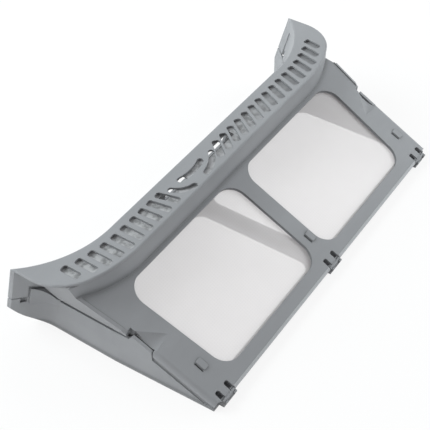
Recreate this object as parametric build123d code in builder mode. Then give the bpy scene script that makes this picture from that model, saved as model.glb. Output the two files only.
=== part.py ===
from build123d import *
import os
from math import asin, atan, atan2, cos, degrees, radians, sin, sqrt, tan

# Tumble dryer lint filter, closed and lying on its rear leaf.
# X runs along the hinge, Y from the hinge to the grille, Z up from the resting face.
# The origin lies on the resting face, below the middle of the hinge axis. Millimetres and degrees.

# Overall form
grille_length = 332.0     # over the two tips of the grille strip
wing_reach = 16.8         # tips of the strip, out beyond the side walls
leaf_angle = 25.6         # between the two leaves
hinge_height = 5.2        # hinge axis over the resting face
strip_height = 65.5       # top of the grille strip over the resting face
parting_height = 33.5     # lower rim of the front leaf over the resting face

# Walls and clearances
face_plate = 2.8
rear_plate = 2.7
wall = 2.2
strip_plate = 1.6
side_gap = 2.4            # between the leaves along the side walls
back_gap = 1.0            # between the leaves along the back wall

# Grille strip, a straight middle with two upturned ends
strip_front = 85.4        # hinge axis to the front edge of the straight middle
strip_depth = 26.4
end_reach = 62.0          # length of an upturned end along X
end_radius = 81.0         # back edge of the upturned ends
strip_lip = 0.5           # strip standing out over the wall below it
corner_radius = 33.0      # front corners of the strip
back_lean = 15.1          # back wall, out towards its foot
strip_edge_round = 1.2

# Slots of the grille
slot_length = 17.5
slot_width = 5.8
slot_round = 1.9
slot_setback = 11.9       # front edge of the strip to the middle of a slot
left_slots = 10
left_end = 18.6           # tip of the strip to the first left slot
left_last_x = -60.6
left_slant = 15.0         # slant of the last left slot, the other way
left_straight = 7         # left slots with no slant
right_slots = 16
right_first_x = -0.5
right_end = 21.7          # tip of the strip to the last right slot
right_slant = 40.0        # slant of the first right slot
right_last_slant = 10.0
end_slot_trim = 3.4       # outermost slot shorter by this, the next by half of it
wave_slot_width = 4.8
# Curved slots: x, setback from the front edge, radius, turn of the middle, length between end centres
wave_slots = (
    (-48.3, 7.6, 18.0, -129.0, 17.0),
    (-30.0, 13.3, 40.0, -90.0, 24.0),
    (-15.0, 7.8, 30.0, -64.5, 21.0),
)

# Front leaf, measured along the leaf from the hinge axis
leaf_side_round = 3.2     # along the sides of the hinge half
leaf_flange = 1.4         # sides of the hinge half, down below the plate
rail_width = 5.0          # these sides, inwards
leaf_start = 0.8
leaf_edge_round = 1.2     # along the hinge
skirt_lean = 16.5         # side skirts, out towards the strip
window_start = 10.8
window_height = 82.0
window_side_hinge = 28.9  # window to the side wall's line, at the hinge
window_side_grille = 21.8
window_radius = 13.6
bar_width = 13.6
scoop_place = 52.5        # point of the scoop
scoop_skew = 22.0         # scoop turned towards the grille
scoop_reach = 20.5        # in from the edge
scoop_width = 22.0        # along the edge
scoop_drop = 3.4          # at the edge
scoop_lift = 0.4          # cone's point above the face, which rounds the inner end

# Rear leaf
rear_start = 3.0          # hinge axis to the plate's edge
taper = 3.2               # side walls drawn in at the hinge
taper_end = 78.0          # from here on the side walls run straight
rear_window_start = 14.4
rear_window_end = 112.0
rear_window_side = 9.2
rear_window_radius = 10.0
rear_bar_width = 15.0
bar_rib_width = 1.6
bar_rib_height = 1.6
rebate_depth = 0.9        # outer rim of the side walls along the hinge half
rebate_height = 3.4
tab_start = 48.0          # finger tabs of the side walls, in the scoops
tab_end = 65.0
tab_drop = 1.7            # top of a tab below the face of the front leaf
tab_slant = 2.8           # slope of its back end
tab_gap = 0.7
wing_rise = 22.0          # lower corners of the wing ends, cut away up to here
wing_bulge = 1.6
post_radius = 25.0        # hollow between a side wall and its wing
post_height = 44.4        # top of the posts in these hollows
post_slope = 41.0
post_run = 10.6           # slope of a post, out before the wing
post_foot = 26.0
post_reach = 9.4          # room for a post, out beyond the side wall
post_step = 0.9           # post standing out over the front leaf's wing
post_gap = 0.35
post_bite = 0.05          # faces that meet run into each other by this
cleft_width = 3.4         # cleft beside a post, in the rim of the wing
cleft_depth = 5.0
cleft_skin = 0.5

# Mesh panels
mesh_thickness = 0.4
mesh_seat = 2.6           # width of the ledge under the edge of a panel
mesh_fit = 0.1

# Hinge, three bars on the front leaf in pairs of cradles on the rear leaf
clip_side = 15.2          # outer hinge clips to the side wall's line
bar_radius = 1.3
bar_clearance = 0.08
bar_end_gap = 0.3
neck_width = 5.6
neck_thickness = 2.2
notch_arm = 3.8           # width of the notches on both sides of a neck
notch_end = 7.6
notch_round = 1.5
hook_wall = 1.0
hook_width = 2.6
hook_foot = 0.6           # foot of a hook, out beyond the hinge axis
hook_base = 2.2           # height of the foot
hook_mouth = 110.0        # opening angle
hook_mouth_turn = 100.0   # middle of the opening, from the plate's side upwards

# Catch pads on the face plate above each hinge clip
pad_place = 25.4
pad_width = 4.6
pad_length = 7.6
pad_height = 0.8
pad_slot_width = 1.2
pad_slot_gap = 0.3
pad_offset = 3.2          # pad to the right of its hinge clip
pad_round = 0.8

# Grooves on the backs of the wing ends, and guide fingers inside the back wall
groove_end = 9.5          # tip to the middle of a groove
groove_width = 4.6
groove_depth = 0.7
groove_top = 57.0
pocket_depth = 1.5        # at the foot of a groove
pocket_rise = 5.0
finger_end = 22.5         # tip to the middle of a finger
finger_width = 5.0
finger_thickness = 1.8
finger_rise = 9.0
finger_clearance = 0.4

# Thumb notch in the middle of the back wall's parting line
thumb_width = 76.0
thumb_depth = 11.0
thumb_radius = 5.0

# Key notch under the right end of the strip, in the side of the front leaf
key_start = 88.0
key_foot = 43.0
key_reach = 3.1           # start of the notch, out beyond the side wall
key_inset = 0.3
key_run = 11.0
key_margin = 4.0          # end of the notch to the wing

# Worked out from the sizes above
half_length = grille_length / 2
half_body = half_length - wing_reach
half_taper = half_body - taper
straight_half = half_length - end_reach
left_first_x = left_end - half_length
right_last_x = half_length - right_end
end_centre_y = strip_front + strip_depth + end_radius
front_radius = end_radius + strip_depth
under_radius = front_radius - strip_lip
slot_radius = front_radius - slot_setback
lean_slope = tan(radians(back_lean))
leaf_slope = tan(radians(leaf_angle))
leaf_cos = cos(radians(leaf_angle))
face_half = face_plate / 2
rear_rim = parting_height - side_gap
rear_back_rim = parting_height - back_gap
strip_underside = strip_height - strip_plate
tall = 2 * strip_height
wide = 2 * grille_length
leaf = Plane((0, 0, hinge_height), x_dir=(1, 0, 0), z_dir=(0, -sin(radians(leaf_angle)), leaf_cos))
lean_down = (0, sin(radians(back_lean)), -cos(radians(back_lean)))
lean_up = (0, -sin(radians(back_lean)), cos(radians(back_lean)))
clip_places = (clip_side - half_body, 0.0, half_body - clip_side)
window_outer_hinge = half_body - window_side_hinge
window_outer_grille = half_body - window_side_grille


def leaf_top(y):
    """Height of the face plate's upper side over the resting face."""
    return hinge_height + face_half / leaf_cos + y * leaf_slope


def leaf_underside(y):
    """Height of the face plate's lower side over the resting face."""
    return hinge_height - face_half / leaf_cos + y * leaf_slope


def edge_y(radius, x):
    """Y of a concentric edge of the grille strip at x."""
    reach = max(abs(x) - straight_half, 0.0)
    return end_centre_y - sqrt(radius**2 - reach**2)


def back_plane(z):
    """Level plane at height z, moved along with the lean of the back wall."""
    return Plane((0, (strip_height - z) * lean_slope, z))


def sweep_angle(radius, reach):
    """Angle of an upturned end of a concentric edge out to x = reach."""
    return degrees(asin((reach - straight_half) / radius))


def band(radius, inner_radius, reach):
    """Plan of the strip between two concentric edges, out to x = reach on both sides."""
    with BuildSketch() as plan:
        with BuildLine():
            front = Line((0, end_centre_y - radius), (straight_half, end_centre_y - radius))
            front_end = CenterArc((straight_half, end_centre_y), radius, -90, sweep_angle(radius, reach))
            back = Line((0, end_centre_y - inner_radius), (straight_half, end_centre_y - inner_radius))
            back_end = CenterArc((straight_half, end_centre_y), inner_radius, -90, sweep_angle(inner_radius, reach))
            Line(front_end @ 1, back_end @ 1)
            Line(front @ 0, back @ 0)
        make_face()
        mirror(about=Plane.YZ)
    return plan.sketch


def ground_before(radius, reach, start_y):
    """Plan of everything between y = start_y and a concentric edge, out to x = reach."""
    with BuildSketch() as plan:
        with BuildLine():
            edge = Line((0, end_centre_y - radius), (straight_half, end_centre_y - radius))
            edge_end = CenterArc((straight_half, end_centre_y), radius, -90, sweep_angle(radius, reach))
            Polyline(edge_end @ 1, (reach, start_y), (0, start_y), edge @ 0)
        make_face()
        mirror(about=Plane.YZ)
    return plan.sketch


def front_window(margin):
    """Right window of the front leaf in leaf coordinates, grown by margin."""
    bottom = window_start - margin
    top = window_start + window_height + margin
    flare = (window_outer_grille - window_outer_hinge) / window_height
    with BuildSketch() as outline:
        with BuildLine():
            Polyline(
                (bar_width / 2 - margin, bottom),
                (window_outer_hinge + margin - flare * margin, bottom),
                (window_outer_grille + margin + flare * margin, top),
                (bar_width / 2 - margin, top),
                close=True,
            )
        make_face()
        fillet(outline.vertices(), window_radius + margin)
    return outline.sketch


def band_slice(x, radius, inner_radius, width):
    """Slice of a concentric band, as wide as given, at x."""
    with BuildSketch() as plan:
        add(band(radius, inner_radius, half_length))
        with Locations((x, end_centre_y)):
            Rectangle(width, 2 * tall + wide, mode=Mode.INTERSECT)
    return plan.sketch


def side_x(y):
    """Half width over the side walls, which draw in towards the hinge."""
    return half_body - taper * max(taper_end - y, 0) / (taper_end - rear_start)


def post_plan(radius, clear_radius):
    """Plan of the filled corners between the side walls and the wings, before a concentric edge."""
    centre_x = half_body + post_radius - post_bite
    span = centre_x - straight_half
    centre_y = end_centre_y - sqrt((radius + post_radius) ** 2 - span**2)
    turn = degrees(atan2(end_centre_y - centre_y, -span)) - 180
    inner_x = half_body - wall / 2
    with BuildSketch() as plan:
        with BuildLine():
            round_face = CenterArc((centre_x, centre_y), post_radius, 180, turn)
            tip = round_face @ 1
            inner_y = end_centre_y - end_radius / 2
            Polyline(tip, (tip.X, inner_y), (inner_x, inner_y), (inner_x, centre_y), round_face @ 0)
        make_face()
        with Locations((straight_half, end_centre_y)):
            Circle(clear_radius, mode=Mode.SUBTRACT)
        mirror(about=Plane.YZ)
    return plan.sketch


def post_profile(drop):
    """Everything under the level rim and the sloping posts, seen along X and lowered by drop."""
    rim = parting_height - drop
    top = post_height + side_gap - drop
    wing_y = edge_y(end_radius + wall, half_body) + (strip_height - parting_height) * lean_slope
    start = wing_y - post_run
    run = (top - rim) / tan(radians(post_slope))
    with BuildSketch() as profile:
        with BuildLine():
            Polyline(
                (0, -wall), (wide, -wall), (wide, top), (start + run, top), (start, rim), (0, rim), close=True
            )
        make_face()
    return profile.sketch


def post_room_plan():
    """Plan of the room for the posts in the front leaf."""
    inner_x = half_body - wall - tab_gap
    with BuildSketch() as plan:
        with Locations((inner_x, end_centre_y - front_radius)):
            Rectangle(half_body + post_reach - inner_x, front_radius, align=(Align.MIN, Align.MIN))
        with Locations((straight_half, end_centre_y)):
            Circle(end_radius + wall - post_gap, mode=Mode.SUBTRACT)
        mirror(about=Plane.YZ)
    return plan.sketch


def rear_window(margin):
    """Right window of the rear leaf in plan, grown by margin."""
    low_x = rear_bar_width / 2 - margin
    low_y = rear_window_start - margin
    width = half_body - rear_window_side + margin - low_x
    height = rear_window_end + margin - low_y
    with BuildSketch() as outline:
        with Locations((low_x + width / 2, low_y + height / 2)):
            RectangleRounded(width, height, rear_window_radius + margin)
    return outline.sketch


def hook_profile():
    """Profile of a hinge hook across the hinge, open upwards, on its foot."""
    bore = bar_radius + bar_clearance
    reach = bore + hook_wall
    rays = [radians(hook_mouth_turn + half * hook_mouth / 2) for half in (-1, 1)]
    mouth = [(2 * reach * cos(ray), hinge_height + 2 * reach * sin(ray)) for ray in rays]
    with BuildSketch() as profile:
        with Locations((0, hinge_height)):
            Circle(reach)
        with Locations((-hook_foot, 0)):
            Rectangle(rear_start + hook_foot, hinge_height, align=(Align.MIN, Align.MIN))
        with Locations((0, hinge_height)):
            Circle(bore, mode=Mode.SUBTRACT)
        with BuildLine():
            Polyline((0, hinge_height), *mouth, close=True)
        make_face(mode=Mode.SUBTRACT)
    return profile.sketch


foot = back_plane(0)

with BuildPart() as post_room:
    with BuildSketch(foot):
        add(post_room_plan())
    extrude(amount=tall, dir=lean_up)
    with BuildSketch(Plane.YZ.offset(-wide)):
        add(post_profile(0))
    extrude(amount=2 * wide, mode=Mode.INTERSECT)

with BuildPart() as front_frame:
    # Face plate, cut off along the wall under the strip
    with BuildSketch(leaf.offset(-face_half)):
        with Locations((0, leaf_start)):
            Rectangle(wide, tall, align=(Align.CENTER, Align.MIN))
    extrude(amount=face_plate)
    fillet(front_frame.edges().filter_by(Axis.X).sort_by(Axis.Y)[:2], leaf_edge_round)
    with BuildSketch(Plane.XY):
        add(ground_before(under_radius - wall, half_length, 0))
    extrude(amount=tall, mode=Mode.INTERSECT)
    with BuildSketch(Plane.XY.offset(strip_underside)):
        add(band(under_radius, under_radius - wall, half_length))
    extrude(amount=-tall)
    with BuildSketch(leaf.offset(-face_half)):
        Rectangle(wide, 2 * tall + wide)
    extrude(amount=-tall, mode=Mode.SUBTRACT)

    # Sides of the face plate: drawn in along the hinge half, then along the leaning skirts
    skirt_start = (parting_height - hinge_height + face_half / leaf_cos) / leaf_slope
    skirt = Plane(
        (half_body, 0, parting_height),
        x_dir=(0, 1, 0),
        z_dir=(cos(radians(skirt_lean)), 0, -sin(radians(skirt_lean))),
    )
    with BuildSketch(skirt):
        with Locations((skirt_start, 0)):
            Rectangle(wide, 2 * wide, align=(Align.MIN, Align.CENTER))
    extrude(amount=wide, mode=Mode.SUBTRACT)
    rail_inset = (leaf_side_round + rail_width) / 2
    with BuildSketch(Plane.XY):
        with BuildLine():
            Polyline(
                (side_x(0) - rail_inset, 0),
                (side_x(skirt_start) - rail_inset, skirt_start),
                (wide, skirt_start),
                (wide, 0),
                close=True,
            )
        make_face()
    extrude(amount=tall, mode=Mode.SUBTRACT)

    # Rounded rail along the side of the hinge half, ending in the room for the finger tab
    tab_middle = (tab_start + tab_end) / 2
    rail_foot = Vector(side_x(leaf_edge_round), leaf_edge_round, leaf_top(leaf_edge_round))
    rail_head = Vector(side_x(tab_middle), tab_middle, leaf_top(tab_middle))
    rail_run = rail_head - rail_foot
    with BuildSketch(Plane(rail_foot, x_dir=rail_run.cross(leaf.z_dir), z_dir=rail_run)) as rail:
        Rectangle(rail_width, face_plate + leaf_flange, align=(Align.MAX, Align.MIN))
        rail_corner = rail.vertices().group_by(Axis.X)[-1].sort_by(Axis.Z)[-1]
        fillet(rail_corner, leaf_side_round)
    extrude(amount=rail_run.length)

    # Side skirt from the scoop to the back wall
    skirt_cos = cos(radians(skirt_lean))
    skirt_top = (strip_underside - parting_height) / skirt_cos
    wall_y = edge_y(under_radius, half_body + (strip_underside - parting_height) * tan(radians(skirt_lean)))
    skirt_knee = (leaf_top(wall_y) - parting_height) / skirt_cos
    back_y = edge_y(end_radius, half_body) + (strip_height - parting_height) * lean_slope - wall / 2
    back_top_y = back_y - (strip_underside - parting_height) * lean_slope
    with BuildSketch(skirt):
        with BuildLine():
            Polyline(
                (skirt_start, 0),
                (back_y, 0),
                (back_top_y, skirt_top),
                (wall_y, skirt_top),
                (wall_y, skirt_knee),
                ((parting_height - leaf_top(0)) / leaf_slope, 0),
                close=True,
            )
        make_face()
    extrude(amount=-wall)

    # Room for the finger tab of the rear leaf
    with BuildSketch(Plane.XY):
        with Locations((side_x(tab_start) - wall - tab_gap, tab_start - tab_gap)):
            Rectangle(wide, tab_end - tab_start + 2 * tab_gap, align=(Align.MIN, Align.MIN))
    extrude(amount=tall, mode=Mode.SUBTRACT)

    # Back wall down to the parting line
    with BuildSketch(Plane.XY.offset(strip_height)):
        add(band(end_radius + wall, end_radius, half_length))
    extrude(amount=(strip_height - parting_height) / cos(radians(back_lean)), dir=lean_down)
    split(bisect_by=Plane.YZ)
    mirror(about=Plane.YZ)

    # Room for the posts of the rear leaf
    add(post_room.part, mode=Mode.SUBTRACT)

    # Key notch, on the right only
    key_end = edge_y(end_radius + wall, half_body) - key_margin
    with BuildSketch(Plane.XY.offset(key_foot)):
        with BuildLine():
            Polyline(
                (half_body + key_reach, key_start),
                (half_body - key_inset, key_start + key_run),
                (half_body - key_inset, key_end),
                (half_length, key_end),
                (half_length, key_start),
                close=True,
            )
        make_face()
    extrude(amount=strip_height - key_foot, mode=Mode.SUBTRACT)

    # Grille strip
    with BuildSketch(Plane.XY.offset(strip_underside)) as strip_plan:
        add(band(front_radius, end_radius, half_length))
        for end in (0, -1):
            ends = strip_plan.vertices().group_by(Axis.X)[end].sort_by(Axis.Y)
            fillet(ends[0], corner_radius)
    extrude(amount=strip_plate)
    strip_face = front_frame.faces().sort_by(Axis.Z)[-1]
    fillet(strip_face.outer_wire().edges(), strip_edge_round)

    # Slots: straight on the left, fanned on the right, with curved ones where the two meet
    with BuildSketch(Plane.XY.offset(strip_height)):
        for i in range(left_slots):
            x = left_first_x + (left_last_x - left_first_x) * i / (left_slots - 1)
            slant = max(i - left_straight + 1, 0) / (left_slots - left_straight) * left_slant
            trim = max(end_slot_trim * (1 - i / 2), 0)
            with Locations((x, edge_y(slot_radius, x))):
                RectangleRounded(slot_width, slot_length - trim, slot_round, rotation=slant)
        for i in range(right_slots):
            x = right_first_x + (right_last_x - right_first_x) * i / (right_slots - 1)
            slant = right_slant + (right_last_slant - right_slant) * i / (right_slots - 1)
            trim = max(end_slot_trim * (1 - (right_slots - 1 - i) / 2), 0)
            with Locations((x, edge_y(slot_radius, x))):
                RectangleRounded(slot_width, slot_length - trim, slot_round, rotation=-slant)
        for x, setback, radius, turn, length in wave_slots:
            arc = degrees(length / radius)
            bow = CenterArc((-radius, 0), radius, -arc / 2, arc, mode=Mode.PRIVATE)
            with Locations((x, edge_y(front_radius, x) + setback)):
                SlotArc(bow, wave_slot_width, rotation=turn)
    extrude(amount=-2 * strip_plate, mode=Mode.SUBTRACT)

    # Windows and the ledges that the mesh panels lie on
    with BuildSketch(leaf.offset(face_half)):
        add(front_window(0))
        mirror(about=Plane.YZ)
    extrude(amount=-2 * face_plate, mode=Mode.SUBTRACT)
    with BuildSketch(leaf.offset(-face_half)):
        add(front_window(mesh_seat))
        mirror(about=Plane.YZ)
    extrude(amount=mesh_thickness, mode=Mode.SUBTRACT)

    # Finger scoops at the sides, shallow cones that open at the edge
    scoop_run = scoop_reach / cos(radians(scoop_skew))
    spread = atan2(scoop_width / 2, scoop_run)
    drop = atan2(scoop_drop, scoop_run)
    rise = atan((cos(drop) - cos(spread)) / sin(drop))
    scoop_height = 2 * scoop_reach
    for side in (-1, 1):
        apex = leaf.from_local_coords((side * (half_body - scoop_reach), scoop_place, face_half + scoop_lift))
        along = side * leaf.x_dir * cos(radians(scoop_skew)) + leaf.y_dir * sin(radians(scoop_skew))
        axis = along * cos(rise) + leaf.z_dir * sin(rise)
        with Locations(Plane(apex, z_dir=axis).location):
            Cone(
                0,
                scoop_height * tan(rise + drop),
                scoop_height,
                align=(Align.CENTER, Align.CENTER, Align.MIN),
                mode=Mode.SUBTRACT,
            )

    # Hinge: notches in the leaf's edge, with a neck between each pair that carries a bar
    with BuildSketch(leaf.offset(face_half)) as notches:
        for x in clip_places:
            for side in (-1, 1):
                with Locations((x + side * (neck_width + notch_arm) / 2, notch_end)):
                    Rectangle(notch_arm, 2 * notch_end, align=(Align.CENTER, Align.MAX))
        fillet(notches.vertices().group_by(Axis.Y)[-1], notch_round)
    extrude(amount=-2 * face_plate, mode=Mode.SUBTRACT)
    with BuildSketch(leaf.offset(-neck_thickness / 2)):
        for x in clip_places:
            with Locations((x, 0)):
                Rectangle(neck_width, notch_end, align=(Align.CENTER, Align.MIN))
    extrude(amount=neck_thickness)
    for x in clip_places:
        with Locations(Plane((x, 0, hinge_height), z_dir=(1, 0, 0)).location):
            Cylinder(bar_radius, neck_width + 2 * (notch_arm - bar_end_gap))

    # Catch pads, each with a slot along its left side
    with BuildSketch(leaf.offset(face_half)):
        for x in clip_places:
            with Locations((x + pad_offset, pad_place)):
                RectangleRounded(pad_width, pad_length, pad_round)
    extrude(amount=pad_height)
    with BuildSketch(leaf.offset(face_half + pad_height)):
        for x in clip_places:
            with Locations((x + pad_offset - (pad_width + pad_slot_width) / 2 - pad_slot_gap, pad_place)):
                SlotOverall(pad_length, pad_slot_width, rotation=90)
    extrude(amount=-2 * face_plate, mode=Mode.SUBTRACT)

    # Grooves down the backs of the wing ends, each with a pocket at its foot
    for side in (-1, 1):
        groove_x = side * (half_length - groove_end)
        for top, depth in ((groove_top, groove_depth), (parting_height + pocket_rise, pocket_depth)):
            with BuildSketch(back_plane(top)):
                add(band_slice(groove_x, end_radius + depth, end_radius - wall, groove_width))
            extrude(amount=strip_height, dir=lean_down, mode=Mode.SUBTRACT)

    # Thumb notch in the lower rim of the back wall
    with BuildSketch(Plane.XZ.offset(-end_centre_y)) as thumb:
        with Locations((0, parting_height)):
            Rectangle(thumb_width, 2 * thumb_depth)
        fillet(thumb.vertices(), thumb_radius)
    extrude(amount=end_centre_y - strip_front - strip_depth / 2, mode=Mode.SUBTRACT)

front_frame.part.label = "front_frame"

with BuildPart() as rebate:
    # Set-back rim of the side walls along the hinge half
    rebate_line = leaf_underside(0) - side_gap - rebate_height
    rebate_start = (rear_plate - rebate_line) / leaf_slope
    with BuildSketch(Plane.XY):
        with BuildLine():
            Polyline(
                (side_x(0) - rebate_depth, 0),
                (side_x(tab_start) - rebate_depth, tab_start),
                (wide, tab_start),
                (wide, 0),
                close=True,
            )
        make_face()
        mirror(about=Plane.YZ)
    extrude(amount=tall)
    with BuildSketch(Plane.YZ.offset(-wide)):
        with BuildLine():
            Polyline(
                (rebate_start, rear_plate),
                (tab_start, rebate_line + tab_start * leaf_slope),
                (tab_start, tall),
                (0, tall),
                (0, rear_plate),
                close=True,
            )
        make_face()
    extrude(amount=2 * wide, mode=Mode.INTERSECT)

with BuildPart() as posts:
    with BuildSketch(back_plane(post_foot)):
        add(post_plan(end_radius + wall + post_step, end_radius + wall + post_gap))
    extrude(amount=(post_height - post_foot) / cos(radians(back_lean)), dir=lean_up)
    with BuildSketch(Plane.YZ.offset(-wide)):
        add(post_profile(side_gap))
    extrude(amount=2 * wide, mode=Mode.INTERSECT)

with BuildPart() as rear_frame:
    # Side walls, rising under the front leaf and level from the scoop to the back wall
    wall_start = (rear_plate + side_gap - leaf_underside(0)) / leaf_slope
    rim_y = edge_y(end_radius, half_body) - wall / 2
    with BuildSketch(Plane.XY):
        with BuildLine():
            Polyline(
                (half_taper, rear_start),
                (half_body, taper_end),
                (half_body, end_centre_y),
                (half_body - wall, end_centre_y),
                (half_body - wall, taper_end),
                (half_taper - wall, rear_start),
                close=True,
            )
        make_face()
        mirror(about=Plane.YZ)
    extrude(amount=tall)
    with BuildSketch(Plane.YZ.offset(-wide)):
        with BuildLine():
            Polyline(
                (wall_start, 0),
                (rim_y + strip_height * lean_slope, 0),
                (rim_y + (strip_height - rear_rim) * lean_slope, rear_rim),
                (tab_end, rear_rim),
                (tab_end - tab_slant, leaf_top(tab_end - tab_slant) - tab_drop),
                (tab_start, leaf_top(tab_start) - tab_drop),
                (tab_start, leaf_underside(tab_start) - side_gap),
                (wall_start, rear_plate),
                close=True,
            )
        make_face()
    extrude(amount=2 * wide, mode=Mode.INTERSECT)

    add(rebate.part, mode=Mode.SUBTRACT)

    # Bottom plate
    with BuildSketch(foot):
        add(ground_before(end_radius + wall / 2, half_body, rear_start - foot.origin.Y))
        with BuildLine():
            start = rear_start - foot.origin.Y
            Polyline(
                (half_taper, start), (half_body, taper_end - foot.origin.Y), (half_body, start), close=True
            )
        make_face(mode=Mode.SUBTRACT)
        with BuildLine():
            Polyline(
                (-half_taper, start), (-half_body, taper_end - foot.origin.Y), (-half_body, start), close=True
            )
        make_face(mode=Mode.SUBTRACT)
    extrude(amount=rear_plate)

    # Back wall with its wing ends, whose lower corners are rounded away
    with BuildSketch(foot):
        add(band(end_radius + wall, end_radius, half_length))
        add(post_plan(end_radius + wall - post_bite, end_radius + wall / 2))
    extrude(amount=rear_back_rim / cos(radians(back_lean)), dir=lean_up)
    wing_run = half_length - half_body
    chord = sqrt(wing_run**2 + wing_rise**2)
    bulge = (wing_bulge * wing_rise / chord, -wing_bulge * wing_run / chord)
    with BuildSketch(Plane.XZ):
        with BuildLine():
            ThreePointArc(
                (half_body, 0),
                (half_body + wing_run / 2 + bulge[0], wing_rise / 2 + bulge[1]),
                (half_length, wing_rise),
            )
            Polyline((half_length, wing_rise), (wide, wing_rise), (wide, -wall), (half_body, -wall), (half_body, 0))
        make_face()
        mirror(about=Plane.YZ)
    extrude(amount=-wide, mode=Mode.SUBTRACT)

    # Posts before the front leaf's wings, and a cleft beside each one
    add(posts.part)
    for side in (-1, 1):
        cleft_x = side * (half_body + post_reach + cleft_width / 2)
        with BuildSketch(back_plane(rear_back_rim - cleft_depth)):
            add(band_slice(cleft_x, end_radius + 2 * wall, end_radius + cleft_skin, cleft_width))
        extrude(amount=strip_height, dir=lean_up, mode=Mode.SUBTRACT)

    # Windows, mesh ledges and the rib along the middle bar
    with BuildSketch(Plane.XY):
        add(rear_window(0))
        mirror(about=Plane.YZ)
    extrude(amount=2 * rear_plate, mode=Mode.SUBTRACT)
    with BuildSketch(Plane.XY.offset(rear_plate)):
        add(rear_window(mesh_seat))
        mirror(about=Plane.YZ)
    extrude(amount=-mesh_thickness, mode=Mode.SUBTRACT)
    with BuildSketch(Plane.XY.offset(rear_plate)):
        with Locations((0, (rear_window_start + rear_window_end) / 2)):
            Rectangle(bar_rib_width, rear_window_end - rear_window_start)
    extrude(amount=bar_rib_height)

    # Hinge hooks, open upwards, on a foot in front of the plate
    hook_spacing = (neck_width + notch_arm) / 2
    for x in clip_places:
        for side in (-1, 1):
            with BuildSketch(Plane.YZ.offset(x + side * hook_spacing - hook_width / 2)):
                add(hook_profile())
            extrude(amount=hook_width)
        with BuildSketch(Plane.XY):
            with Locations((x, -hook_foot)):
                Rectangle(
                    2 * hook_spacing + hook_width, 2 * rear_start + hook_foot, align=(Align.CENTER, Align.MIN)
                )
        extrude(amount=hook_base)

    # Guide fingers inside the front leaf's back wall
    finger_radius = end_radius + wall + finger_clearance
    for side in (-1, 1):
        finger_x = side * (half_length - finger_end)
        with BuildSketch(back_plane(rear_back_rim - finger_rise)):
            add(band_slice(finger_x, finger_radius + finger_thickness, finger_radius, finger_width))
        extrude(amount=2 * finger_rise / cos(radians(back_lean)), dir=lean_up)
        with BuildSketch(back_plane(rear_back_rim - finger_rise)):
            add(band_slice(finger_x, finger_radius + finger_thickness, end_radius + wall / 2, finger_width))
        extrude(amount=finger_rise / cos(radians(back_lean)), dir=lean_up)

rear_frame.part.label = "rear_frame"

with BuildPart() as front_mesh_right:
    with BuildSketch(leaf.offset(-face_half)):
        add(front_window(mesh_seat - mesh_fit))
    extrude(amount=mesh_thickness)
front_mesh_right.part.label = "front_mesh_right"

with BuildPart() as front_mesh_left:
    add(front_mesh_right.part.mirror(Plane.YZ))
front_mesh_left.part.label = "front_mesh_left"

with BuildPart() as rear_mesh_right:
    with BuildSketch(Plane.XY.offset(rear_plate - mesh_thickness)):
        add(rear_window(mesh_seat - mesh_fit))
    extrude(amount=mesh_thickness)
rear_mesh_right.part.label = "rear_mesh_right"

with BuildPart() as rear_mesh_left:
    add(rear_mesh_right.part.mirror(Plane.YZ))
rear_mesh_left.part.label = "rear_mesh_left"

os.makedirs("parts", exist_ok=True)
pieces = (front_frame, rear_frame, front_mesh_left, front_mesh_right, rear_mesh_left, rear_mesh_right)
for piece in pieces:
    export_step(piece.part, f"parts/{piece.part.label}.step")
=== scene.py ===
"""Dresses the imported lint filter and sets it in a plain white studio.

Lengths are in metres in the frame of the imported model: X along the hinge, Y from the hinge to the grille,
Z up from the face that the filter lies on.
"""

import logging
import math
from collections.abc import Mapping
from dataclasses import dataclass
from enum import Enum
from typing import Any

import bmesh
import bpy
from mathutils import Matrix, Vector


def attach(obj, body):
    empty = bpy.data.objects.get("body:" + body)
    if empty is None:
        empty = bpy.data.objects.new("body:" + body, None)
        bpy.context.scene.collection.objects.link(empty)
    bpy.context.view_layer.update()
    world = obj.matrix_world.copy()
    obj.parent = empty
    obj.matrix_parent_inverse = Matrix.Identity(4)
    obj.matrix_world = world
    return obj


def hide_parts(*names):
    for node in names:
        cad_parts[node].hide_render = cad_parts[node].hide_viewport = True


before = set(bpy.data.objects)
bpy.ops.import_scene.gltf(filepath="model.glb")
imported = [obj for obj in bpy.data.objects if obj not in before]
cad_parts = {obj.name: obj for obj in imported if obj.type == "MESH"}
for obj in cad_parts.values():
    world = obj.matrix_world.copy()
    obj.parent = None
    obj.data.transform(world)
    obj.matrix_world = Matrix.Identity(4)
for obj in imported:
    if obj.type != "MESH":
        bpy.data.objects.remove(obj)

MM = 0.001
FULL_TURN = 2.0 * math.pi
IMAGE_WIDTH = 430.0
UV_MAP = "UVMap"
log = logging.getLogger("lint_filter")

# The Mix node's colour sockets share their names with others, so they go by number.
MIX_SHARE = 0
MIX_FIRST = 6
MIX_SECOND = 7
MIX_RESULT = 2

Colour = tuple[float, float, float]
Point = tuple[float, float, float]
Span = tuple[float, float]
Face = tuple[int, ...]

WHITE: Colour = (1.0, 1.0, 1.0)


class Body(Enum):
    """The two leaves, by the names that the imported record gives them."""

    FRONT = "front"
    REAR = "rear"


class Side(Enum):
    """Left or right half of the filter; the value is the sign of X."""

    LEFT = -1
    RIGHT = 1

    def word(self) -> str:
        """The side as the names of pieces have it."""
        return self.name.lower()


class Blend(Enum):
    """How one colour is laid on another, by the Mix node's own names."""

    COVER = "MIX"
    MULTIPLY = "MULTIPLY"


@dataclass(frozen=True)
class Noise:
    """A noise: features per unit of its coordinates, number of finer layers and their weight."""

    scale: float
    detail: float = 2.0
    rough: float = 0.5


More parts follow.
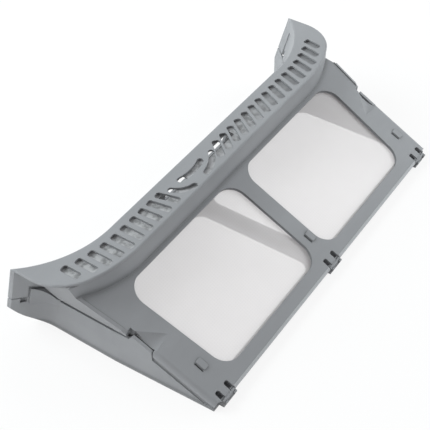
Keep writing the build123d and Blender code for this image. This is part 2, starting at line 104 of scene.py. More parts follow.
class Signal:
    """A socket of a node tree. Arithmetic on it adds Math nodes to the tree."""

    def __init__(self, bench: "NodeBench", socket: bpy.types.NodeSocket) -> None:
        """Keeps the socket and the bench that its tree is built on."""
        self.bench = bench
        self.socket = socket

    def beside(self, output: str) -> "Signal":
        """Another output of the same node, by its name."""
        return Signal(self.bench, self.socket.node.outputs[output])

    def math(self, operation: str, first: Any, second: Any = 0.0) -> "Signal":
        """Adds one Math node.

        Args:
            operation: Blender's name of the operation.
            first: number or signal of the first socket.
            second: number or signal of the second socket.

        Returns:
            The node's result.
        """
        return self.bench.node("ShaderNodeMath", {"operation": operation}, {0: first, 1: second})

    def __add__(self, other: Any) -> "Signal":
        """Sum."""
        return self.math("ADD", self, other)

    def __radd__(self, other: Any) -> "Signal":
        """Sum with the number first."""
        return self.math("ADD", other, self)

    def __sub__(self, other: Any) -> "Signal":
        """Difference."""
        return self.math("SUBTRACT", self, other)

    def __rsub__(self, other: Any) -> "Signal":
        """Difference with the number first."""
        return self.math("SUBTRACT", other, self)

    def __mul__(self, other: Any) -> "Signal":
        """Product."""
        return self.math("MULTIPLY", self, other)

    def __rmul__(self, other: Any) -> "Signal":
        """Product with the number first."""
        return self.math("MULTIPLY", other, self)

    def __truediv__(self, other: Any) -> "Signal":
        """Quotient."""
        return self.math("DIVIDE", self, other)

    def __rtruediv__(self, other: Any) -> "Signal":
        """Quotient with the number first."""
        return self.math("DIVIDE", other, self)

    def least(self, other: Any) -> "Signal":
        """The smaller of the two."""
        return self.math("MINIMUM", self, other)

    def most(self, other: Any) -> "Signal":
        """The larger of the two."""
        return self.math("MAXIMUM", self, other)

    def sine(self) -> "Signal":
        """Sine of an angle in radians."""
        return self.math("SINE", self)

    def root(self) -> "Signal":
        """Square root."""
        return self.math("SQRT", self)

    def span(self, low: float, high: float) -> "Signal":
        """Smooth step from 0 at low to 1 at high."""
        return self.bench.node(
            "ShaderNodeMapRange",
            {"interpolation_type": "SMOOTHSTEP"},
            {"Value": self, "From Min": low, "From Max": high},
        )


class NodeBench:
    """Builds one node tree, for a material, the world or geometry."""

    def __init__(self, tree: bpy.types.NodeTree) -> None:
        """Starts on an empty tree."""
        self.tree = tree
        self.tree.nodes.clear()

    def node(
        self,
        kind: str,
        settings: Mapping[str, Any] | None = None,
        sockets: Mapping[int | str, Any] | None = None,
        output: int | str = 0,
    ) -> Signal:
        """Adds one node.

        Args:
            kind: Blender's type name of the node.
            settings: properties, set before the sockets.
            sockets: numbers, colours or signals by the socket's name or index.
            output: name or index of the socket that is handed back.

        Returns:
            The chosen output, or the first input where the node has no output.
        """
        made = self.tree.nodes.new(kind)
        for name, value in (settings or {}).items():
            setattr(made, name, value)
        for key, value in (sockets or {}).items():
            if isinstance(value, Signal):
                self.tree.links.new(value.socket, made.inputs[key])
            else:
                made.inputs[key].default_value = value
        return Signal(self, made.outputs[output] if made.outputs else made.inputs[0])

    def mix(self, share: Any, first: Any, second: Any, blend: Blend = Blend.COVER) -> Signal:
        """Mixes two colours.

        Args:
            share: 0 for the first colour alone, 1 for the second laid on it in full.
            first: colour or signal.
            second: colour or signal.
            blend: how the second colour is laid on the first.

        Returns:
            The mixed colour.
        """
        sockets = {MIX_SHARE: share}
        for key, value in ((MIX_FIRST, first), (MIX_SECOND, second)):
            sockets[key] = value if isinstance(value, Signal) else (*value, 1.0)
        settings = {"data_type": "RGBA", "blend_type": blend.value}
        return self.node("ShaderNodeMix", settings, sockets, MIX_RESULT)

    def noise(self, place: Signal, noise: Noise) -> Signal:
        """Noise between 0 and 1 around 0.5.

        Args:
            place: coordinates.
            noise: scale and layers of the noise.

        Returns:
            The noise value.
        """
        layers = {"Scale": noise.scale, "Detail": noise.detail, "Roughness": noise.rough}
        return self.node("ShaderNodeTexNoise", {}, {"Vector": place, **layers})

    def background_rays(self) -> Signal:
        """1 for the rays that show the background: those of the camera, of reflections and through glass."""
        camera = self.node("ShaderNodeLightPath", output="Is Camera Ray")
        return camera.most(camera.beside("Is Glossy Ray")).most(camera.beside("Is Transmission Ray"))

    def principled(self, sockets: Mapping[str, Any]) -> None:
        """Ends a material's tree in one principled shader with the given sockets."""
        shader = self.node("ShaderNodeBsdfPrincipled", {}, sockets)
        self.node("ShaderNodeOutputMaterial", {}, {"Surface": shader})


def new_material(name: str) -> tuple[bpy.types.Material, NodeBench]:
    """Makes an empty node material.

    Args:
        name: name of the material.

    Returns:
        The material and a bench on its tree.
    """
    material = bpy.data.materials.new(name)
    material.use_nodes = True
    return material, NodeBench(material.node_tree)


def toned(colour: Colour, gain: float) -> Colour:
    """The colour made paler or deeper, and no paler than white."""
    return tuple(min(gain * part, 1.0) for part in colour)


@dataclass(frozen=True)
class MouldedPlastic:
    """Grey moulded plastic: spark-eroded grain, faint flow marks, edges painted paler for wear and as
    painted highlight, painted shade in the inner corners.
    """

    name: str
    colour: Colour
    flow: Noise = Noise(22.0, 4.0, 0.55)
    flow_turn: Point = (0.0, 0.0, 0.35)
    flow_stretch: Point = (0.35, 1.0, 1.0)
    flow_span: Span = (0.3, 0.7)
    flow_relief: float = 0.4
    deep_gain: float = 0.94
    pale_gain: float = 1.07
    grain: Noise = Noise(2400.0, 2.0, 0.6)
    grain_depth: float = 0.02 * MM
    grain_strength: float = 0.5
    speck_span: Span = (0.62, 0.78)
    speck_share: float = 0.35
    smudge: Noise = Noise(9.0, 3.0, 0.5)
    smudge_span: Span = (0.35, 0.6)
    smudge_rough: float = 0.12
    edge_radius: float = 0.5 * MM
    edge_samples: int = 6
    edge_span: Span = (0.01, 0.25)
    edge_least: float = 0.35
    # Pale tone for the specks of grain and the edges; on the edges it is wear and painted highlight.
    wear_and_highlight_gain: float = 1.22
    edge_polish: float = 0.06
    # Painted shade: the next settings darken the colour in the inner corners.
    crease_shade_reach: float = 7.0 * MM
    crease_shade_samples: int = 8
    crease_shade_span: Span = (0.05, 0.27)
    hollow_span: Span = (0.3, 0.5)
    crease_shade_gain: float = 0.55
    roughness: float = 0.45
    ior: float = 1.46
    specular: float = 0.4

    def worn_lit_edge(self, bench: NodeBench, rounded: Signal, smudge: Signal) -> Signal:
        """Finds the edges, where the rounded normal leaves the true one; they are painted paler, for wear
        and as painted highlight.

        Args:
            bench: bench of the material.
            rounded: normal with its edges rounded.
            smudge: noise that breaks the wear and the painted highlight up.

        Returns:
            1 on an edge painted paler for wear and as painted highlight, 0 elsewhere.
        """
        true_normal = bench.node("ShaderNodeNewGeometry", output="Normal")
        normals = {0: rounded, 1: true_normal}
        turn = bench.node("ShaderNodeVectorMath", {"operation": "DOT_PRODUCT"}, normals, "Value")
        patchy = self.edge_least + (1.0 - self.edge_least) * smudge.span(*self.smudge_span)
        return (1.0 - turn).span(*self.edge_span) * patchy

    def crease_shade(self, bench: NodeBench) -> Signal:
        """Finds the inner corners, where shade is painted into the colour.

        Args:
            bench: bench of the material.

        Returns:
            1 in an inner corner, where shade is painted, 0 in the open and deep inside the hollow parts.
        """
        reach = {"Distance": self.crease_shade_reach}
        openness = bench.node("ShaderNodeAmbientOcclusion", {"samples": self.crease_shade_samples}, reach, "AO")
        covered = 1.0 - openness
        return covered.span(*self.crease_shade_span) * (1.0 - covered.span(*self.hollow_span))

    def material(self) -> bpy.types.Material:
        """Builds the finish.

        Returns:
            The material.
        """
        material, bench = new_material(self.name)
        place = bench.node("ShaderNodeTexCoord", output="Object")
        turned = {"Vector": place, "Rotation": self.flow_turn, "Scale": self.flow_stretch}
        flow = bench.noise(bench.node("ShaderNodeMapping", {}, turned), self.flow)
        grain = bench.noise(place, self.grain)
        smudge = bench.noise(place, self.smudge)
        rounded = bench.node("ShaderNodeBevel", {"samples": self.edge_samples}, {"Radius": self.edge_radius})
        edge = self.worn_lit_edge(bench, rounded, smudge)
        deep = toned(self.colour, self.deep_gain)
        pale = toned(self.colour, self.pale_gain)
        # Palest tone: the specks of grain, and on the edges wear and painted highlight.
        fleck_wear_and_highlight = toned(self.colour, self.wear_and_highlight_gain)
        colour = bench.mix(flow.span(*self.flow_span), deep, pale)
        colour = bench.mix(grain.span(*self.speck_span) * self.speck_share, colour, fleck_wear_and_highlight)
        # Edges painted paler: wear, and a painted highlight on their rounding.
        colour = bench.mix(edge, colour, fleck_wear_and_highlight)
        # Painted shade: the colour is darkened in the inner corners.
        colour = bench.mix(self.crease_shade(bench), colour, toned(self.colour, self.crease_shade_gain))
        relief = bench.node(
            "ShaderNodeBump",
            {},
            {
                "Strength": self.grain_strength,
                "Distance": self.grain_depth,
                "Height": grain + self.flow_relief * flow,
                "Normal": rounded,
            },
        )
        bench.principled(
            {
                "Base Color": colour,
                "Roughness": self.roughness + self.smudge_rough * smudge - self.edge_polish * edge,
                "Normal": relief,
                "IOR": self.ior,
                "Specular IOR Level": self.specular,
            }
        )
        return material


@dataclass(frozen=True)
class BackingPlastic:
    """Clouded plastic behind the slots, painted pale to stand in for the light inside the filter, greyer and
    plainer towards the right end.
    """

    name: str
    left: Colour
    right: Colour
    fade_span: Span = (30.0 * MM, 105.0 * MM)
    cloud: Noise = Noise(190.0, 3.0, 0.6)
    cloud_span: Span = (0.4, 0.65)
    cloud_gain: float = 0.5
    cloud_fade: float = 0.8
    relief_strength: float = 0.4
    relief_depth: float = 0.1 * MM
    roughness: float = 0.6
    specular: float = 0.3

    def material(self) -> bpy.types.Material:
        """Builds the finish.

        Returns:
            The material.
        """
        material, bench = new_material(self.name)
        place = bench.node("ShaderNodeTexCoord", output="Object")
        along = bench.node("ShaderNodeSeparateXYZ", {}, {0: place}, "X")
        fade = along.span(*self.fade_span)
        # Painted light: pale tone for the lit inside of the filter, greyer towards the right end.
        colour = bench.mix(fade, self.left, self.right)
        cloud = bench.noise(place, self.cloud)
        dulled = cloud.span(*self.cloud_span) * (1.0 - self.cloud_fade * fade)
        colour = bench.mix(dulled, colour, toned(WHITE, self.cloud_gain), Blend.MULTIPLY)
        relief = bench.node(
            "ShaderNodeBump",
            {},
            {"Strength": self.relief_strength, "Distance": self.relief_depth, "Height": cloud},
        )
        bench.principled(
            {
                "Base Color": colour,
                "Roughness": self.roughness,
                "Normal": relief,
                "Specular IOR Level": self.specular,
            }
        )
        return material


@dataclass(frozen=True)
class FilterGauze:
    """Fine pale filter gauze that lets part of the light through."""

    name: str
    colour: Colour
    open_alpha: float
    thread_alpha: float
    uv_length: float = 150.0 * MM
    pitch: float = 0.25 * MM
    cloud: Noise = Noise(3.0, 2.0, 0.5)
    cloud_span: Span = (0.3, 0.7)
    cloud_gain: float = 0.95
    crossing_gain: float = 1.08
    crossing_share: float = 0.12
    slub: Noise = Noise(18.0, 3.0, 0.6)
    slub_alpha: float = 0.08
    slub_rough: float = 0.1
    relief_strength: float = 0.06
    relief_depth: float = 0.05 * MM
    roughness: float = 0.62
    specular: float = 0.3
    sheen: float = 0.15

    def material(self) -> bpy.types.Material:
        """Builds the finish on the panel's own UV map.

        Returns:
            The material.
        """
        material, bench = new_material(self.name)
        flat = bench.node("ShaderNodeUVMap", {"uv_map": UV_MAP})
        across = bench.node("ShaderNodeSeparateXYZ", {}, {0: flat}, "X")
        turns = FULL_TURN * self.uv_length / self.pitch
        warp = 0.5 + 0.5 * (across * turns).sine()
        weft = 0.5 + 0.5 * (across.beside("Y") * turns).sine()
        thread = warp.most(weft)
        crossing = warp * weft
        slub = bench.noise(flat, self.slub)
        cloud = bench.noise(flat, self.cloud)
        colour = bench.mix(cloud.span(*self.cloud_span), self.colour, toned(self.colour, self.cloud_gain))
        colour = bench.mix(crossing * self.crossing_share, colour, toned(self.colour, self.crossing_gain))
        woven = self.open_alpha + (self.thread_alpha - self.open_alpha) * thread
        relief = bench.node(
            "ShaderNodeBump",
            {},
            {"Strength": self.relief_strength, "Distance": self.relief_depth, "Height": thread + crossing},
        )
        bench.principled(
            {
                "Base Color": colour,
                "Roughness": self.roughness + self.slub_rough * slub,
                "Alpha": woven + self.slub_alpha * (slub - 0.5),
                "Normal": relief,
                "Specular IOR Level": self.specular,
                "Sheen Weight": self.sheen,
            }
        )
        return material


@dataclass(frozen=True)
class StudioWhite:
    """White ground that stays white to the eye and keeps a soft shadow."""

    name: str = "studio_white"
    colour: Colour = (0.88, 0.88, 0.88)
    cloud: Noise = Noise(2.0)
    cloud_gain: float = 0.98
    glow_share: float = 0.86

    def material(self) -> bpy.types.Material:
        """Builds the finish.

        Returns:
            The material.
        """
        material, bench = new_material(self.name)
        place = bench.node("ShaderNodeTexCoord", output="Object")
        cloud = bench.noise(place, self.cloud)
        colour = bench.mix(cloud, self.colour, toned(self.colour, self.cloud_gain))
        matt = bench.node("ShaderNodeBsdfDiffuse", {}, {"Color": colour})
        glow = bench.node("ShaderNodeEmission", {}, {"Strength": 1.0})
        share = bench.background_rays() * self.glow_share
        surface = bench.node("ShaderNodeMixShader", {}, {0: share, 1: matt, 2: glow})
        bench.node("ShaderNodeOutputMaterial", {}, {"Surface": surface})
        return material


@dataclass
class MouldedLeaf:
    """One moulded leaf of the filter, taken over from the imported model."""

    node: str
    finish: MouldedPlastic

    def dress(self) -> None:
        """Gives the leaf its finish."""
        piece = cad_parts[self.node]
        material = self.finish.material()
        for slot in piece.material_slots:
            slot.material = material
        if not piece.material_slots:
            piece.data.materials.append(material)
        log.info("%s dressed in %s", self.node, self.finish.name)


@dataclass(frozen=True)
class Window:
    """A window in its leaf's own plane: X from the middle of the leaf outwards, Y from the hinge on."""

    inner: float
    outer_start: float
    outer_end: float
    start: float
    end: float
    corner: float

    def grown(self, seat: float) -> "Window":
        """Adds a seat all round.

        Args:
            seat: width of the seat.

        Returns:
            The larger outline.
        """
        return Window(
            inner=self.inner - seat,
            outer_start=self.outer_start + seat,
            outer_end=self.outer_end + seat,
            start=self.start - seat,
            end=self.end + seat,
            corner=self.corner + seat,
        )

    def blank(self) -> tuple[float, float]:
        """Width and length of the rectangle that the outline is cut from."""
        return max(self.outer_start, self.outer_end) - self.inner, self.end - self.start

    def area(self) -> float:
        """Area inside the outline in square metres."""
        mean_width = (self.outer_start + self.outer_end) / 2.0 - self.inner
        return mean_width * (self.end - self.start) - (4.0 - math.pi) * self.corner**2


@dataclass
class GauzePanel:
    """One stretched panel of filter gauze, cut in its leaf's own plane and laid in the leaf."""

    node: str
    body: Body
    carrier: str
    side: Side
    finish: FilterGauze
    cut: Window
    leaf_angle: float
    leaf_height: float
    depth: float
    ripple: Noise = Noise(22.0, 1.0)
    slack: float = 0.12 * MM
    held_gain: float = 16.0
    gather: float = 0.8
    columns: int = 49
    rows: int = 61

    def inputs(self) -> dict[str, float]:
        """Names the inputs of the panel's node tree.

        Returns:
            Each input's value by its name, in the order of the tree's sockets.
        """
        return {
            "Inner edge": self.cut.inner,
            "Outer edge at hinge": self.cut.outer_start,
            "Outer edge at grille": self.cut.outer_end,
            "Start": self.cut.start,
            "End": self.cut.end,
            "Corner radius": self.cut.corner,
            "Side": float(self.side.value),
            "Slack": self.slack,
            "UV length": self.finish.uv_length,
        }

    def tree(self, material: bpy.types.Material) -> bpy.types.NodeTree:
        """Builds the geometry nodes that cut and stretch the panel.

        Args:
            material: finish of the panel.

        Returns:
            The node tree, with named inputs for the panel's sizes.
        """
        group = bpy.data.node_groups.new(f"{self.node}_cut", "GeometryNodeTree")
        for name in self.inputs():
            group.interface.new_socket(name, in_out="INPUT", socket_type="NodeSocketFloat")
        group.interface.new_socket("Panel", in_out="OUTPUT", socket_type="NodeSocketGeometry")
        bench = NodeBench(group)
        entry = bench.node("NodeGroupInput")
        sizes = [entry.beside(name) for name in self.inputs()]
        inner, outer_start, outer_end, start, end, corner, side, slack, uv_length = sizes
        counts = {"Vertices X": self.columns, "Vertices Y": self.rows}
        grid = bench.node("GeometryNodeMeshGrid", {}, {"Size X": 1.0, "Size Y": 1.0, **counts})
        position = bench.node("GeometryNodeInputPosition")
        grid_x = bench.node("ShaderNodeSeparateXYZ", {}, {0: position}, "X")
        across = 0.5 + side * grid_x
        evenly = 0.5 + grid_x.beside("Y")
        along = evenly - (evenly * FULL_TURN).sine() * (self.gather / FULL_TURN)
        length = start + (end - start) * along
        rounding = (corner - (length - start).least(end - length)).most(0.0)
        inset = corner - (corner * corner - rounding * rounding).most(0.0).root()
        low = inner + inset
        high = outer_start + (outer_end - outer_start) * along - inset
        width = low + (high - low) * across
        flat = bench.node("ShaderNodeCombineXYZ", {}, {"X": side * width, "Y": length})
        held = (along * (1.0 - along) * across * (1.0 - across) * self.held_gain).least(1.0)
        lift = (bench.noise(flat, self.ripple) - 0.5) * slack * held
        place = bench.node("ShaderNodeCombineXYZ", {}, {"X": side * width, "Y": length, "Z": lift})
        shaped = bench.node("GeometryNodeSetPosition", {}, {"Geometry": grid, "Position": place})
        uv = bench.node("ShaderNodeCombineXYZ", {}, {"X": width / uv_length, "Y": length / uv_length})
        marked = bench.node(
            "GeometryNodeStoreNamedAttribute",
            {"data_type": "FLOAT2", "domain": "CORNER"},
            {"Geometry": shaped, "Name": UV_MAP, "Value": uv},
        )
        smooth = bench.node("GeometryNodeSetShadeSmooth", {}, {"Geometry": marked, "Shade Smooth": True})
        real = bench.node("GeometryNodeRealizeInstances", {}, {"Geometry": smooth})
        done = bench.node("GeometryNodeSetMaterial", {}, {"Geometry": real, "Material": material})
        bench.node("NodeGroupOutput", {}, {0: done})
        return group

    def cut_mesh(self) -> bpy.types.Mesh:
        """Runs the node tree once.

        Returns:
            The cut panel as a plain mesh, laid in its leaf.
        """
        blank_name = f"{self.node}_blank"
        blank = bpy.data.objects.new(blank_name, bpy.data.meshes.new(blank_name))
        bpy.context.scene.collection.objects.link(blank)
        modifier = blank.modifiers.new("cut", "NODES")
        modifier.node_group = self.tree(self.finish.material())
        for item in modifier.node_group.interface.items_tree:
            if item.in_out == "INPUT":
                modifier[item.identifier] = self.inputs()[item.name]
        depsgraph = bpy.context.evaluated_depsgraph_get()
        mesh = bpy.data.meshes.new_from_object(blank.evaluated_get(depsgraph), depsgraph=depsgraph)
        bpy.data.objects.remove(blank)
        leaf = Matrix.Translation((0.0, 0.0, self.leaf_height)) @ Matrix.Rotation(self.leaf_angle, 4, "X")
        mesh.transform(leaf @ Matrix.Translation((0.0, 0.0, self.depth)))
        return mesh

    def build(self) -> None:
        mesh = self.cut_mesh()
        mesh.name = f"{self.node}_gauze"
        piece = bpy.data.objects.new(f"{self.node}_gauze", mesh)
        bpy.context.scene.collection.objects.link(piece)
        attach(piece, self.body.value)
        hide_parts(self.node)
        self.cut.blank()
        self.cut.area()
        log.info("%s cut: %d faces", piece.name, len(mesh.polygons))


Coat = tuple[MouldedPlastic | BackingPlastic, list[Face]]


def add_trim(name: str, points: list[Point], coats: list[Coat]) -> None:
    """Adds a thin trim piece that rides on the front leaf.

    Args:
        name: name of the piece.
        points: corners in the shared frame.
        coats: each finish of the piece with the faces that wear it, as numbers of their corners.
    """
    mesh = bpy.data.meshes.new(name)
    mesh.from_pydata(points, [], [face for _, faces in coats for face in faces])
    wears = [index for index, (_, faces) in enumerate(coats) for _ in faces]
    mesh.polygons.foreach_set("material_index", wears)
    for finish, _ in coats:
        mesh.materials.append(finish.material())
    shell = bmesh.new()
    shell.from_mesh(mesh)
    bmesh.ops.recalc_face_normals(shell, faces=shell.faces)
    shell.to_mesh(mesh)
    shell.free()
    piece = bpy.data.objects.new(name, mesh)
    bpy.context.scene.collection.objects.link(piece)
    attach(piece, Body.FRONT.value)
    log.info("%s added: %d faces", name, len(mesh.polygons))


@dataclass
class SlotBacking:
    """Thin plate close under the slotted strip, open in two places towards the thumb notch."""

    finish: BackingPlastic
    plastic: MouldedPlastic
    top: float = 63.4 * MM
    thickness: float = 0.6 * MM
    left_end: float = -150.5 * MM
    right_end: float = 151.5 * MM
    step: float = 2.0 * MM
    straight_half: float = 104.0 * MM
    centre_y: float = 192.8 * MM
    front_radius: float = 104.9 * MM
    back_radius: float = 82.9 * MM
    back_shift: float = 1.0 * MM
    rows: tuple[float, ...] = (0.0, 0.44, 0.665, 1.0)
    open_row: int = 1
    openings: tuple[Span, ...] = ((-66.0 * MM, -36.0 * MM), (-12.5 * MM, 20.5 * MM))

    def edge(self, radius: float, x: float) -> float:
        """Y of a line that runs straight in the middle and round at the ends."""
        beyond = max(abs(x) - self.straight_half, 0.0)
        return self.centre_y - math.sqrt(radius**2 - beyond**2)

    def stops(self) -> list[float]:
        """Places the columns of cells.

        Returns:
            X of each column's border, with the ends of the openings among them.
        """
        length = self.right_end - self.left_end
        count = round(length / self.step)
        even = [self.left_end + length * i / count for i in range(count + 1)]
        return sorted({*even, *(end for opening in self.openings for end in opening)})

    def corners(self, stops: list[float]) -> list[Point]:
        """Places the corners of the cells.

        Args:
            stops: X of each column's border.

        Returns:
            The corners of the upper face and then, in the same order, those of the lower face.
        """
        points: list[Point] = []
        for z in (self.top, self.top - self.thickness):
            for x in stops:
                front = self.edge(self.front_radius, x)
                back = self.edge(self.back_radius, x) + self.back_shift
                points += [(x, front + (back - front) * share, z) for share in self.rows]
        return points

    def cells(self, stops: list[float]) -> set[tuple[int, int]]:
        """Lists the cells outside the openings.

        Args:
            stops: X of each column's border.

        Returns:
            Column and row of each cell that is there.
        """
        kept: set[tuple[int, int]] = set()
        for column in range(len(stops) - 1):
            middle = (stops[column] + stops[column + 1]) / 2.0
            is_open = any(low < middle < high for low, high in self.openings)
            for row in range(len(self.rows) - 1):
                if not (is_open and row == self.open_row):
                    kept.add((column, row))
        return kept

    def build(self) -> None:
        """Builds the plate as a grid of cells, closed along its edges and openings."""
        stops = self.stops()
        kept = self.cells(stops)
        height = len(self.rows)
        under = len(stops) * height
        upper: list[Face] = []
        plain: list[Face] = []
        for column, row in sorted(kept):
            near = column * height + row
            far = near + height
            upper.append((near, far, far + 1, near + 1))
            plain.append((under + near + 1, under + far + 1, under + far, under + near))
            borders = {
                (column, row - 1): (near, far),
                (column + 1, row): (far, far + 1),
                (column, row + 1): (far + 1, near + 1),
                (column - 1, row): (near + 1, near),
            }
            for neighbour, (first, second) in borders.items():
                if neighbour not in kept:
                    plain.append((second, first, under + first, under + second))
        add_trim("slot_backing", self.corners(stops), [(self.finish, upper), (self.plastic, plain)])


@dataclass
class TabLip:
    """Lip under the front leaf, along the inner side of the room for a finger tab."""

    side: Side
    finish: MouldedPlastic
    inner: float = 144.0 * MM
    outer: float = 144.6 * MM
    outline: tuple[tuple[float, float], ...] = (
        (44.0 * MM, 25.0 * MM),
        (47.0 * MM, 25.3 * MM),
        (71.0 * MM, 36.8 * MM),
        (74.0 * MM, 39.4 * MM),
        (74.0 * MM, 26.5 * MM),
        (44.0 * MM, 19.0 * MM),
    )

    def build(self) -> None:
        """Builds the lip as a thin plate across X."""
        sign = float(self.side.value)
        points = [(sign * x, y, z) for x in (self.inner, self.outer) for y, z in self.outline]
        count = len(self.outline)
        ring = [(i, (i + 1) % count) for i in range(count)]
        faces: list[Face] = [tuple(range(count)), tuple(range(2 * count - 1, count - 1, -1))]
        faces += [(second, first, count + first, count + second) for first, second in ring]
        add_trim(f"tab_lip_{self.side.word()}", points, [(self.finish, faces)])


@dataclass
class HingeLip:
    """Rounded lip along the hinge edge of the front leaf, from the middle clip to an outer one."""

    side: Side
    finish: MouldedPlastic
    leaf_angle: float
    hinge_height: float
    inner: float = 6.9 * MM
    outer: float = 127.1 * MM
    root: float = 1.7 * MM
    reach: float = 2.15 * MM
    half_height: float = 1.43 * MM
    steps: int = 12

    def build(self) -> None:
        """Builds the lip as a half-round bar along X."""
        sign = float(self.side.value)
        lean = Matrix.Rotation(self.leaf_angle, 3, "X")
        axis = Vector((0.0, 0.0, self.hinge_height))
        turns = [math.pi * i / self.steps for i in range(self.steps + 1)]
        outline = [
            Vector((0.0, self.root - self.reach * math.sin(turn), self.half_height * math.cos(turn)))
            for turn in turns
        ]
        points: list[Point] = []
        for x in (sign * self.inner, sign * self.outer):
            points += [tuple(axis + lean @ spot + Vector((x, 0.0, 0.0))) for spot in outline]
        count = len(outline)
        faces: list[Face] = [tuple(range(count)), tuple(range(count, 2 * count))]
        faces += [(i, (i + 1) % count, count + (i + 1) % count, count + i) for i in range(count)]
        add_trim(f"hinge_lip_{self.side.word()}", points, [(self.finish, faces)])


@dataclass
class LintFilter:
    """The whole filter: two moulded leaves, four gauze panels and five thin trim pieces."""

    leaf_angle: float = math.radians(25.6)
    hinge_height: float = 5.2 * MM
    seat: float = 2.5 * MM
    front_depth: float = -1.05 * MM
    rear_depth: float = 2.35 * MM
    front_window: Window = Window(
        inner=6.8 * MM,
        outer_start=120.1 * MM,
        outer_end=127.6 * MM,
        start=10.8 * MM,
        end=92.8 * MM,
        corner=13.6 * MM,
    )
    rear_window: Window = Window(
        inner=7.5 * MM,
        outer_start=140.0 * MM,
        outer_end=140.0 * MM,
        start=14.4 * MM,
        end=112.0 * MM,
        corner=10.0 * MM,
    )
    plastic: MouldedPlastic = MouldedPlastic("grey_plastic", (0.264, 0.268, 0.280))
    # Paler plastic of the hinge lips: a painted highlight along the hinge edge.
    hinge_highlight_plastic: MouldedPlastic = MouldedPlastic("hinge_highlight_plastic", (0.43, 0.435, 0.45))
    # The backing's pale tones are painted light, standing in for the lit inside of the filter.
    backing: BackingPlastic = BackingPlastic("slot_backing", (0.46, 0.46, 0.47), (0.26, 0.26, 0.27))
    front_gauze: FilterGauze = FilterGauze("front_gauze", (0.99, 0.94, 0.94), 0.55, 0.57)
    rear_gauze: FilterGauze = FilterGauze("rear_gauze", (0.99, 0.94, 0.94), 0.30, 0.32)

    def front_panel(self, side: Side) -> GauzePanel:
        """Sets out a panel in a window of the front leaf.

        Args:
            side: left or right window.

        Returns:
            The panel, not yet built.
        """
        return GauzePanel(
            node=f"front_mesh_{side.word()}",
            body=Body.FRONT,
            carrier="front_frame",
            side=side,
            finish=self.front_gauze,
            cut=self.front_window.grown(self.seat),
            leaf_angle=self.leaf_angle,
            leaf_height=self.hinge_height,
            depth=self.front_depth,
        )

    def rear_panel(self, side: Side) -> GauzePanel:
        """Sets out a panel in a window of the rear leaf.

        Args:
            side: left or right window.

        Returns:
            The panel, not yet built.
        """
        return GauzePanel(
            node=f"rear_mesh_{side.word()}",
            body=Body.REAR,
            carrier="rear_frame",
            side=side,
            finish=self.rear_gauze,
            cut=self.rear_window.grown(self.seat),
            leaf_angle=0.0,
            leaf_height=0.0,
            depth=self.rear_depth,
        )

    def build(self) -> None:
        """Dresses the leaves and builds the panels and the trim."""
        for node in ("front_frame", "rear_frame"):
            MouldedLeaf(node, self.plastic).dress()
        for side in Side:
            self.front_panel(side).build()
            self.rear_panel(side).build()
            TabLip(side, self.plastic).build()
            # The hinge lips wear paler plastic: a painted highlight along the hinge edge.
            HingeLip(side, self.hinge_highlight_plastic, self.leaf_angle, self.hinge_height).build()
        SlotBacking(self.backing, self.plastic).build()


@dataclass(frozen=True)
class SoftLamp:
    """Soft square lamp that looks at the filter."""

    name: str
    place: Point
    size: float
    power: float
    colour: Colour = WHITE
    target: Point = (0.0, 0.06, 0.03)

    def hang(self) -> None:
        """Hangs the lamp in the scene."""
        data = bpy.data.lights.new(self.name, "AREA")
        data.size = self.size
        data.energy = self.power
        data.color = self.colour
        lamp = bpy.data.objects.new(self.name, data)
        place = Vector(self.place)
        ahead = (Vector(self.target) - place).to_track_quat("-Z", "Y")
        lamp.matrix_world = Matrix.Translation(place) @ ahead.to_matrix().to_4x4()
        bpy.context.scene.collection.objects.link(lamp)


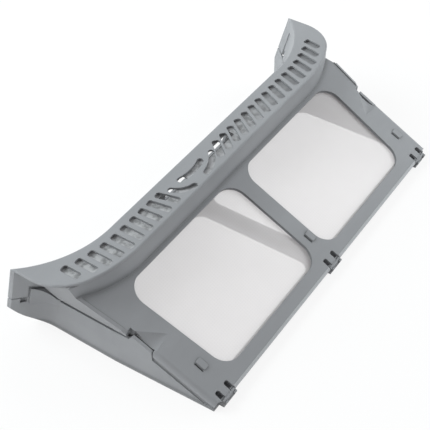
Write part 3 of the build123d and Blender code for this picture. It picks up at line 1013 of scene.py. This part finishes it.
@dataclass
class Studio:
    """Camera, ground and soft light.

    The sensor is in millimetres and the focal length in pixels of the photograph's frame.
    """

    camera_place: Vector
    camera_target: Vector
    camera_roll: float
    focal_pixels: float
    sensor: float = 36.0
    ground_size: float = 6.0
    ground_drop: float = 0.05 * MM
    world_strength: float = 0.41
    lamps: tuple[SoftLamp, ...] = (
        SoftLamp("key", (-0.55, 1.15, 0.85), 0.9, 20.0, (0.93, 1.0, 1.01)),
        SoftLamp("right_front", (0.75, -0.35, 0.45), 0.6, 4.2, (0.93, 1.0, 1.02)),
        SoftLamp("right_back", (0.85, 0.85, 0.7), 0.7, 2.5, (0.93, 1.0, 1.02)),
        SoftLamp("left", (-1.2, 0.45, 0.3), 0.6, 2.7),
        SoftLamp("hinge_edge", (0.5, -1.1, 0.12), 0.5, 3.0, (0.96, 1.0, 1.01)),
    )

    def camera(self) -> None:
        """Makes the camera and takes it into use."""
        data = bpy.data.cameras.new("camera")
        data.sensor_width = self.sensor
        data.lens = self.sensor * self.focal_pixels / IMAGE_WIDTH
        camera = bpy.data.objects.new("camera", data)
        bpy.context.scene.collection.objects.link(camera)
        ahead = (self.camera_target - self.camera_place).to_track_quat("-Z", "Y")
        turn = ahead.to_matrix() @ Matrix.Rotation(self.camera_roll, 3, "Z")
        camera.matrix_world = Matrix.Translation(self.camera_place) @ turn.to_4x4()
        bpy.context.scene.camera = camera

    def ground(self) -> None:
        """Lays the white ground under the filter."""
        half = self.ground_size / 2.0
        mesh = bpy.data.meshes.new("ground")
        corners = [(-half, -half, 0.0), (half, -half, 0.0), (half, half, 0.0), (-half, half, 0.0)]
        mesh.from_pydata(corners, [], [(0, 1, 2, 3)])
        mesh.materials.append(StudioWhite().material())
        ground = bpy.data.objects.new("ground", mesh)
        ground.location.z = -self.ground_drop
        bpy.context.scene.collection.objects.link(ground)

    def light(self) -> None:
        """Sets the even world light, a white background and the lamps."""
        world = bpy.data.worlds.new("studio")
        world.use_nodes = True
        bench = NodeBench(world.node_tree)
        white = (*WHITE, 1.0)
        even = bench.node("ShaderNodeBackground", {}, {"Color": white, "Strength": self.world_strength})
        backdrop = bench.node("ShaderNodeBackground", {}, {"Color": white, "Strength": 1.0})
        sockets = {0: bench.background_rays(), 1: even, 2: backdrop}
        bench.node("ShaderNodeOutputWorld", {}, {"Surface": bench.node("ShaderNodeMixShader", {}, sockets)})
        bpy.context.scene.world = world
        for lamp in self.lamps:
            lamp.hang()

    def build(self) -> None:
        """Sets up the whole studio."""
        self.camera()
        self.ground()
        self.light()
        bpy.context.scene.view_settings.view_transform = "Standard"
        log.info("studio set")


def main() -> None:
    """Builds the filter and the studio round it."""
    logging.basicConfig(level=logging.INFO, format="%(name)s: %(message)s")
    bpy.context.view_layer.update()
    studio = Studio(
        camera_place=Vector((-0.43854, -0.20055, 0.52062)),
        camera_target=Vector((-0.02702, 0.08256, 0.03)),
        camera_roll=math.radians(-0.577),
        focal_pixels=1000.0,
    )
    studio.build()
    LintFilter().build()


if __name__ == "__main__":
    main()
